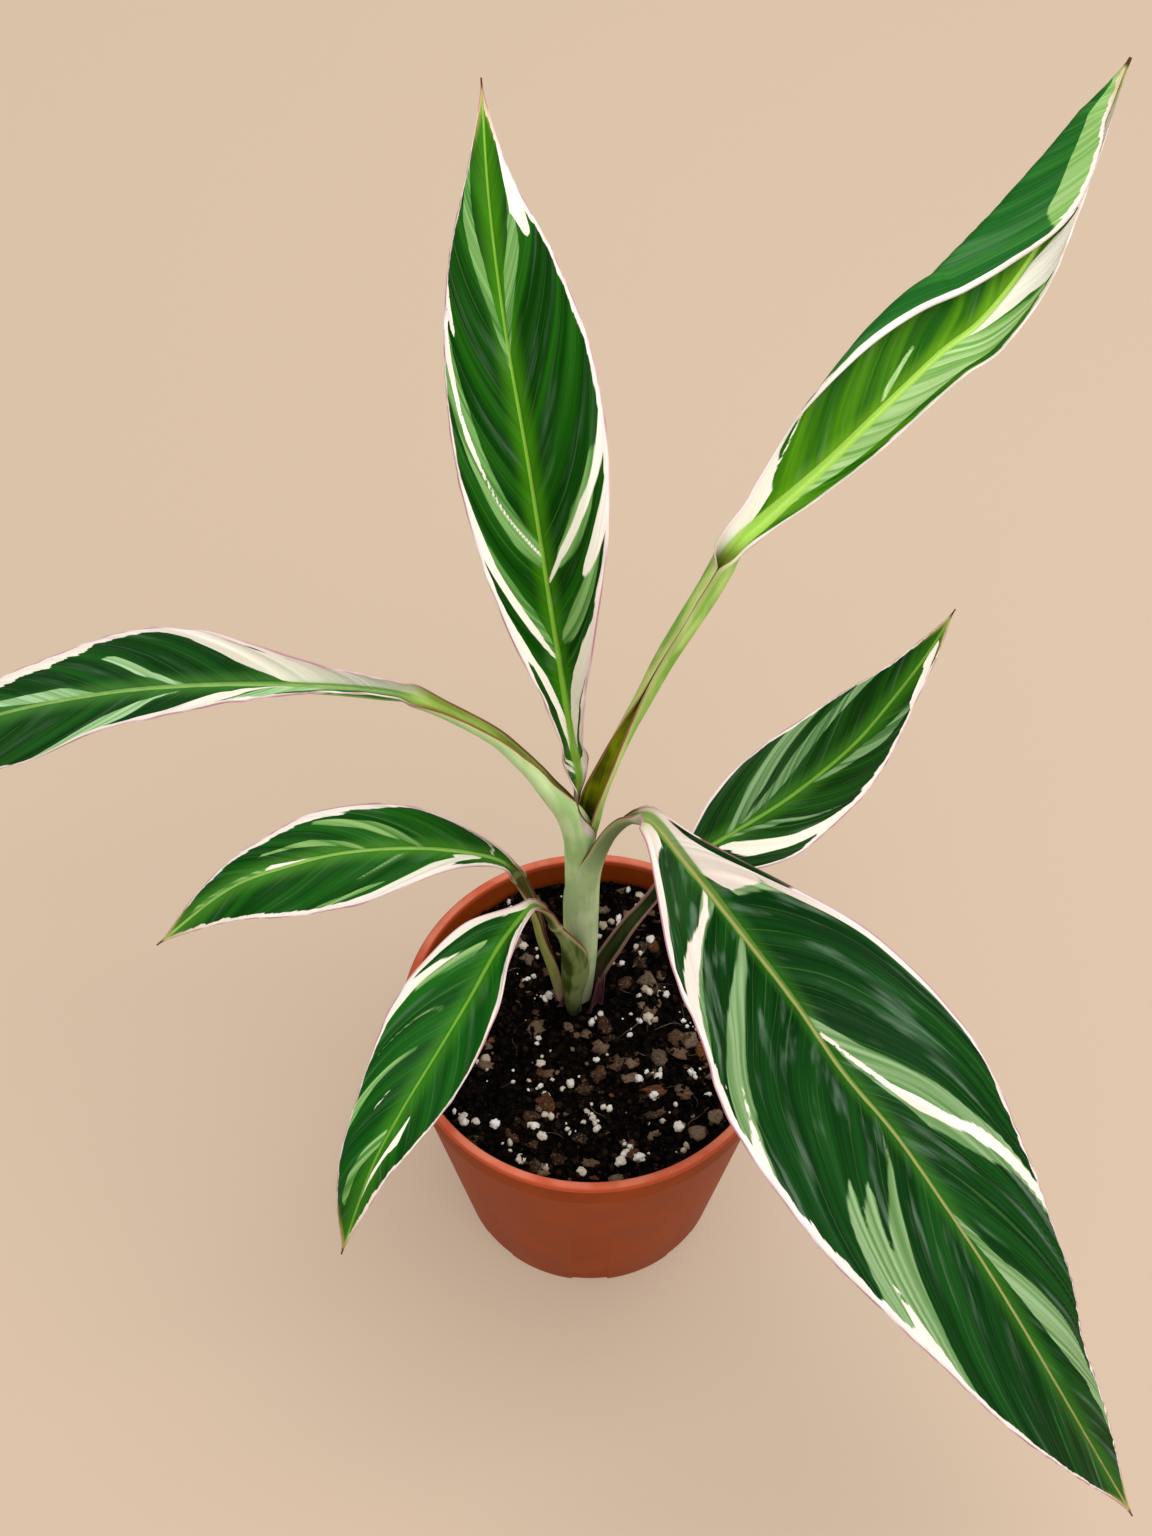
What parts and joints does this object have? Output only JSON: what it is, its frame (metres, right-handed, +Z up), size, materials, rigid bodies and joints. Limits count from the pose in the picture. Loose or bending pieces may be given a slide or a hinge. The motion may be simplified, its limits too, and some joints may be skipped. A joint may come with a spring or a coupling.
{
  "type": "potted banana plant",
  "caption": "Young variegated banana plant with arching cream-edged leaves, standing in a tapered terracotta-coloured plastic nursery pot.",
  "frame": {"origin": "middle of the pot's flat underside", "axes": "+Z up along the pot's axis; -Y is the front, the side that the largest leaf and the lowest leaf hang towards; +X is to the right"},
  "size_m": [0.3744, 0.2969, 0.3851],
  "materials": {
    "pot_plastic": "satin terracotta-coloured polypropylene",
    "potting_mix": "damp dark peat mix",
    "sheath": "smooth, waxy, grey-green",
    "leaf": "satin green with cream and pale green markings",
    "perlite": "matt white foamed grain",
    "bark": "rough brown chip"
  },
  "bodies": {
    "root": {"pot": "pot_plastic", "soil": "potting_mix", "pseudostem": "sheath", "leaf_upright": "leaf", "leaf_young": "leaf", "leaf_left": "leaf", "leaf_large": "leaf", "leaf_right": "leaf", "leaf_lower_left": "leaf", "leaf_front": "leaf", "perlite_01": "perlite", "perlite_02": "perlite", "perlite_03": "perlite", "perlite_04": "perlite", "perlite_05": "perlite", "perlite_06": "perlite", "perlite_07": "perlite", "perlite_08": "perlite", "perlite_09": "perlite", "perlite_10": "perlite", "perlite_11": "perlite", "perlite_12": "perlite", "perlite_13": "perlite", "perlite_14": "perlite", "perlite_15": "perlite", "perlite_16": "perlite", "bark_01": "bark", "bark_02": "bark", "bark_03": "bark", "bark_04": "bark", "bark_05": "bark", "bark_06": "bark", "bark_07": "bark", "bark_08": "bark"}
  },
  "joints": []
}
